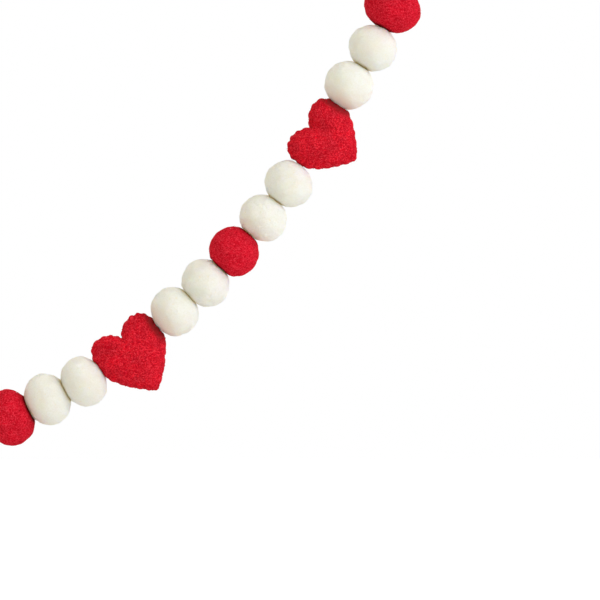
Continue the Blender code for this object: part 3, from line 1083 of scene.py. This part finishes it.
def make_heart(index):
    heart = Heart(index)
    points, faces, pressed, grooves = heart_skin(heart)
    name = f"felt_{bead_name(index)}"
    # on a heart this mark holds the stitch grooves, a darker red, and no painted red light
    piece = add_piece(name, points, faces, heart_felt, [bead_name(index)],
                      {"pressed": pressed, "blush": grooves})
    threads, thread_faces = [], []
    for at in range(0, len(heart.edge), POINTS_PER_STITCH):
        route = stitch_route(heart, at)
        first = len(threads)
        threads += round_tube(route, THREAD_WIDTH, THREAD_SIDES)
        thread_faces += [tuple(first + corner for corner in face)
                         for face in tube_faces(len(route), THREAD_SIDES)]
    add_piece(f"stitches_{bead_name(index)}", threads, thread_faces, sewing_thread)
    print(f"{name}: {len(faces)} faces, {2 * heart.stitches + 1} stitches")
    return piece


hearts = {index: make_heart(index) for index, kind in enumerate(ORDER) if kind == "H"}

# %% [markdown]
# The knot is the cord wound twice round itself and pulled tight, with two short tails that
# stick out sideways. A helix makes the wraps, and the tails keep straight, as a cord that was
# just cut does. All of it is joined into one piece, because it is one tight lump of cord.

# %% Knots and tails
KNOT_WIDTH = 4.4 * MM
WRAP_TURNS = 2.4
WRAP_STEPS = 90
TUCKED = 0.35                       # the wraps' ends are tucked in to this share of their radius
TAIL_REACH = 9.2 * MM               # from the knot's middle
TAIL_ANGLES = (62.0, 108.0)         # from the way the string runs on to the outer side
TAIL_DROOP = 0.8 * MM
TAIL_START = 0.08
TAIL_STEPS = 26
DOWN = Vector((0.0, 0.0, -1.0))


def wrap_route(base, onward, outer):
    """The wound cord, from its tucked start to its tucked end."""
    front = onward.cross(outer)
    wound = (KNOT_WIDTH - CORD_WIDTH) / 2
    points = []
    for step in range(WRAP_STEPS + 1):
        share = step / WRAP_STEPS
        turn = math.tau * WRAP_TURNS * share
        from_end = min(share, 1.0 - share) * 8
        reach = wound * min(1.0, TUCKED + from_end)
        height = CORD_WIDTH / 2 + (KNOT_LENGTH - CORD_WIDTH) * share
        points.append(base + onward * height + (outer * math.cos(turn) + front * math.sin(turn)) * reach)
    return points


def tail_route(middle, onward, outer, angle):
    way = onward * math.cos(angle) + outer * math.sin(angle)
    points = []
    for step in range(TAIL_STEPS + 1):
        share = TAIL_START + (1.0 - TAIL_START) * step / TAIL_STEPS
        points.append(middle + way * (share * TAIL_REACH) + DOWN * (TAIL_DROOP * share ** 2))
    return points


def make_knot(end):
    start, onward, outer = end_frame(end)
    base = start + onward * KNOT_GAP
    middle = base + onward * (KNOT_LENGTH / 2)
    routes = [wrap_route(base, onward, outer)]
    routes.append([base + onward * (KNOT_LENGTH * step / 10) for step in range(11)])
    routes += [tail_route(middle, onward, outer, math.radians(angle)) for angle in TAIL_ANGLES]
    points, faces, grooves = [], [], []
    for number, route in enumerate(routes):
        made, made_faces, made_grooves = laid_cord(route, start_turn=float(number))
        faces += [tuple(len(points) + corner for corner in face) for face in made_faces]
        points += made
        grooves += made_grooves
    add_piece(f"cord_knot_{end}", points, faces, cotton, [f"knot_{end}"], {"groove": grooves})
    tips = [(route[-1], (route[-1] - route[-2]).normalized()) for route in routes[2:]]
    print(f"Knot {end}: {len(faces)} faces")
    return tips


tail_tips = make_knot("left") + make_knot("right")

# %% [markdown]
# Loose fibres stand off felt and cotton: short, thin and bent over, most of them lying almost
# flat. They soften the outline and put the fine light lines on the red felt. Hair systems
# would not reach the finished meshes, so each fibre is a small closed spike with three sides,
# and all the fibres of one colour are one piece. A seed for each bead keeps them the same on
# every run.

# %% A loose fibre
FIBRE_BENDS = (0.0, 0.4, 0.75)      # places of the rings along a fibre, before its tip
FIBRE_TAPER = (1.0, 0.85, 0.6)
FIBRE_ROOT = 0.15 * MM              # how deep a fibre starts in the felt


class Fuzz:
    """Loose fibres that end up as one mesh."""

    def __init__(self):
        self.points = []
        self.faces = []

    def add(self, root, way, bend, length, width):
        """A spike from a root along a way, bent over more and more towards its tip."""
        first = len(self.points)
        side = way.orthogonal().normalized()
        third = way.cross(side)
        for share, taper in zip(FIBRE_BENDS, FIBRE_TAPER):
            middle = root + way * (length * share) + bend * (length * share * share)
            for step in range(3):
                turn = math.tau * step / 3
                spoke = side * math.cos(turn) + third * math.sin(turn)
                self.points.append(middle + spoke * (width / 2 * taper))
        self.points.append(root + way * length + bend * length)
        tip = first + 3 * len(FIBRE_BENDS)
        self.faces.append((first + 2, first + 1, first))
        for ring in range(len(FIBRE_BENDS) - 1):
            low = first + 3 * ring
            for step in range(3):
                beside = (step + 1) % 3
                self.faces.append((low + step, low + beside, low + 3 + beside, low + 3 + step))
        for step in range(3):
            self.faces.append((tip - 3 + step, tip - 3 + (step + 1) % 3, tip))

    def piece(self, name, material, slot):
        made = add_piece(name, self.points, self.faces, material)
        print(f"{name}: {len(self.points) // 10} fibres")
        return made


# %% [markdown]
# The fibres grow from points of each bead's own mesh, picked at random but never near a
# contact line, where its painted shade lies. White felt is rubbed smoother than red, so its
# fibres are fewer and shorter.

# %% Grow the fibres
WHITE_FIBRES = 260
RED_FIBRES = 420
HEART_FIBRES = 620
FIBRE_LENGTH = {"W": (0.6 * MM, 1.5 * MM), "R": (0.8 * MM, 2.0 * MM), "H": (0.8 * MM, 2.2 * MM)}
FIBRE_WIDTH = {"W": 0.045 * MM, "R": 0.055 * MM, "H": 0.06 * MM}
FIBRE_COUNT = {"W": WHITE_FIBRES, "R": RED_FIBRES, "H": HEART_FIBRES}
FIBRE_STAND = (0.10, 0.75)          # how steeply a fibre leaves the felt, as a share of its length
FIBRE_CURL = 0.6


def grow(fuzz, piece, index):
    chance = random.Random(f"fibres {index}")
    kind = ORDER[index]
    mesh = piece.data
    marks = mesh.attributes["pressed"].data
    grown = 0
    while grown < FIBRE_COUNT[kind]:
        vertex = mesh.vertices[chance.randrange(len(mesh.vertices))]
        if marks[vertex.index].value > 0.05:
            continue
        normal = vertex.normal
        flat = normal.orthogonal().normalized()
        flat = Matrix.Rotation(chance.uniform(0.0, math.tau), 3, normal) @ flat
        beside = normal.cross(flat)
        stand = chance.uniform(*FIBRE_STAND)
        way = (flat + normal * stand).normalized()
        bend = beside * chance.uniform(-FIBRE_CURL, FIBRE_CURL) - normal * (stand * 0.5)
        root = vertex.co + flat * chance.uniform(-0.4 * MM, 0.4 * MM) - normal * FIBRE_ROOT
        fuzz.add(root, way, bend, chance.uniform(*FIBRE_LENGTH[kind]), FIBRE_WIDTH[kind])
        grown += 1


white_fibres, red_fibres, heart_fibres = Fuzz(), Fuzz(), Fuzz()
for index, piece in balls.items():
    grow(white_fibres if ORDER[index] == "W" else red_fibres, piece, index)
for index, piece in hearts.items():
    grow(heart_fibres, piece, index)
white_fibres.piece("fuzz_white", white_fuzz, "white_felt")
red_fibres.piece("fuzz_red", red_fuzz, "red_felt")
heart_fibres.piece("fuzz_hearts", red_fuzz, "heart_felt")

# %% [markdown]
# The cut tails of the knots fray into a small brush, and the loops are a little hairy. These
# fibres are cotton, so they are one more piece with the cord's finish.

# %% Frayed ends
FRAY_FIBRES = 22
FRAY_LENGTH = (0.8 * MM, 2.2 * MM)
FRAY_SPREAD = 0.55
CORD_FIBRES = 150
CORD_FIBRE_LENGTH = (0.5 * MM, 1.4 * MM)
CORD_FIBRE_WIDTH = 0.04 * MM

chance = random.Random("cotton fibres")
cotton_fibres = Fuzz()
for tip, way in tail_tips:
    for _ in range(FRAY_FIBRES):
        across = Vector([chance.uniform(-1.0, 1.0) for _ in range(3)])
        across -= way * across.dot(way)
        root = tip - way * (0.3 * MM) + across * (CORD_WIDTH * 0.3)
        cotton_fibres.add(root, (way + across * FRAY_SPREAD).normalized(), across * 0.3,
                          chance.uniform(*FRAY_LENGTH), 0.09 * MM)
for loop in loops:
    for _ in range(CORD_FIBRES):
        vertex = loop.data.vertices[chance.randrange(len(loop.data.vertices))]
        flat = Vector([chance.uniform(-1.0, 1.0) for _ in range(3)])
        way = (vertex.normal * 0.8 + flat).normalized()
        cotton_fibres.add(vertex.co, way, flat * 0.2, chance.uniform(*CORD_FIBRE_LENGTH),
                          CORD_FIBRE_WIDTH)
cotton_fibres.piece("fuzz_cotton", cotton, "cord")

# %% [markdown]
# The stage is a pale floor well below the swag, and a white room. The room is what lights the
# garland from all sides, with a slightly warm light; where the camera looks straight into it,
# it is pure white. The floor glows where the camera looks at it, as a lit table in a photo
# studio does, so that it runs into the white behind it.

# %% Floor and room
FLOOR_HEIGHT = -0.47
FLOOR_SIZE = 4.0
FLOOR_GLOW = 0.40
ROOM_LIGHT = 1.0
ROOM_TINT = (1.0, 0.990, 0.915)
ROOM_SEEN = 1.0

finish = Finish("pale_floor")
speckle = finish.cloud(finish.place(), 40 * MM, detail=3.0)
seen_by_camera = finish.node("ShaderNodeLightPath", {}, {}, "Is Camera Ray")
glow = finish.mix(seen_by_camera, (0.0, 0.0, 0.0), (FLOOR_GLOW, FLOOR_GLOW, FLOOR_GLOW))
pale_floor = finish.close(finish.mix(speckle, (0.80, 0.80, 0.79), (0.84, 0.84, 0.83)), 0.8,
                          finish.bump(speckle, 0.2 * MM, 0.2),
                          {"Emission Color": glow, "Emission Strength": 1.0})
half = FLOOR_SIZE / 2
corners = [(x, y, FLOOR_HEIGHT) for x, y in ((-half, -half), (half, -half), (half, half), (-half, half))]
floor_mesh = bpy.data.meshes.new("floor")
floor_mesh.from_pydata(corners, [], [(0, 1, 2, 3)])
floor_mesh.materials.append(pale_floor)
floor = bpy.data.objects.new("floor", floor_mesh)
floor.location = (PICTURE_MIDDLE.x, 0.0, 0.0)
bpy.context.scene.collection.objects.link(floor)

world = bpy.data.worlds.new("white_room")
world.use_nodes = True
nodes, links = world.node_tree.nodes, world.node_tree.links
nodes.clear()
seen = nodes.new("ShaderNodeBackground")
seen.inputs["Strength"].default_value = ROOM_SEEN
lit = nodes.new("ShaderNodeBackground")
lit.inputs["Strength"].default_value = ROOM_LIGHT
seen.inputs["Color"].default_value = (1.0, 1.0, 1.0, 1.0)
lit.inputs["Color"].default_value = (*ROOM_TINT, 1.0)
choose = nodes.new("ShaderNodeMixShader")
out = nodes.new("ShaderNodeOutputWorld")
links.new(nodes.new("ShaderNodeLightPath").outputs["Is Camera Ray"], choose.inputs["Fac"])
links.new(lit.outputs[0], choose.inputs[1])
links.new(seen.outputs[0], choose.inputs[2])
links.new(choose.outputs[0], out.inputs["Surface"])
bpy.context.scene.world = world
bpy.context.scene.view_settings.view_transform = "Standard"

# %% [markdown]
# A lamp twice as wide as the swag, off to the right and a little above, gives shading
# without hard shadows. Its light is a little bluer than the room's, as daylight from a window
# is, so the sides that face it are a cleaner white.

# %% Key light
KEY_PLACE = Vector((1.9, -0.9, 0.35))
KEY_TARGET = Vector((0.45, 0.0, -0.25))
KEY_WIDTH = 1.3
KEY_POWER = 17.6                    # in watts
KEY_TINT = (0.80, 0.83, 1.0)

key = bpy.data.objects.new("key", bpy.data.lights.new("key", "AREA"))
key.data.shape = "DISK"
key.data.size = KEY_WIDTH
key.data.energy = KEY_POWER
key.data.color = KEY_TINT
key.location = KEY_PLACE
key.rotation_euler = (KEY_PLACE - KEY_TARGET).to_track_quat("Z", "Y").to_euler()
bpy.context.scene.collection.objects.link(key)
print(f"Key light of {KEY_POWER} W, {KEY_WIDTH} m across")
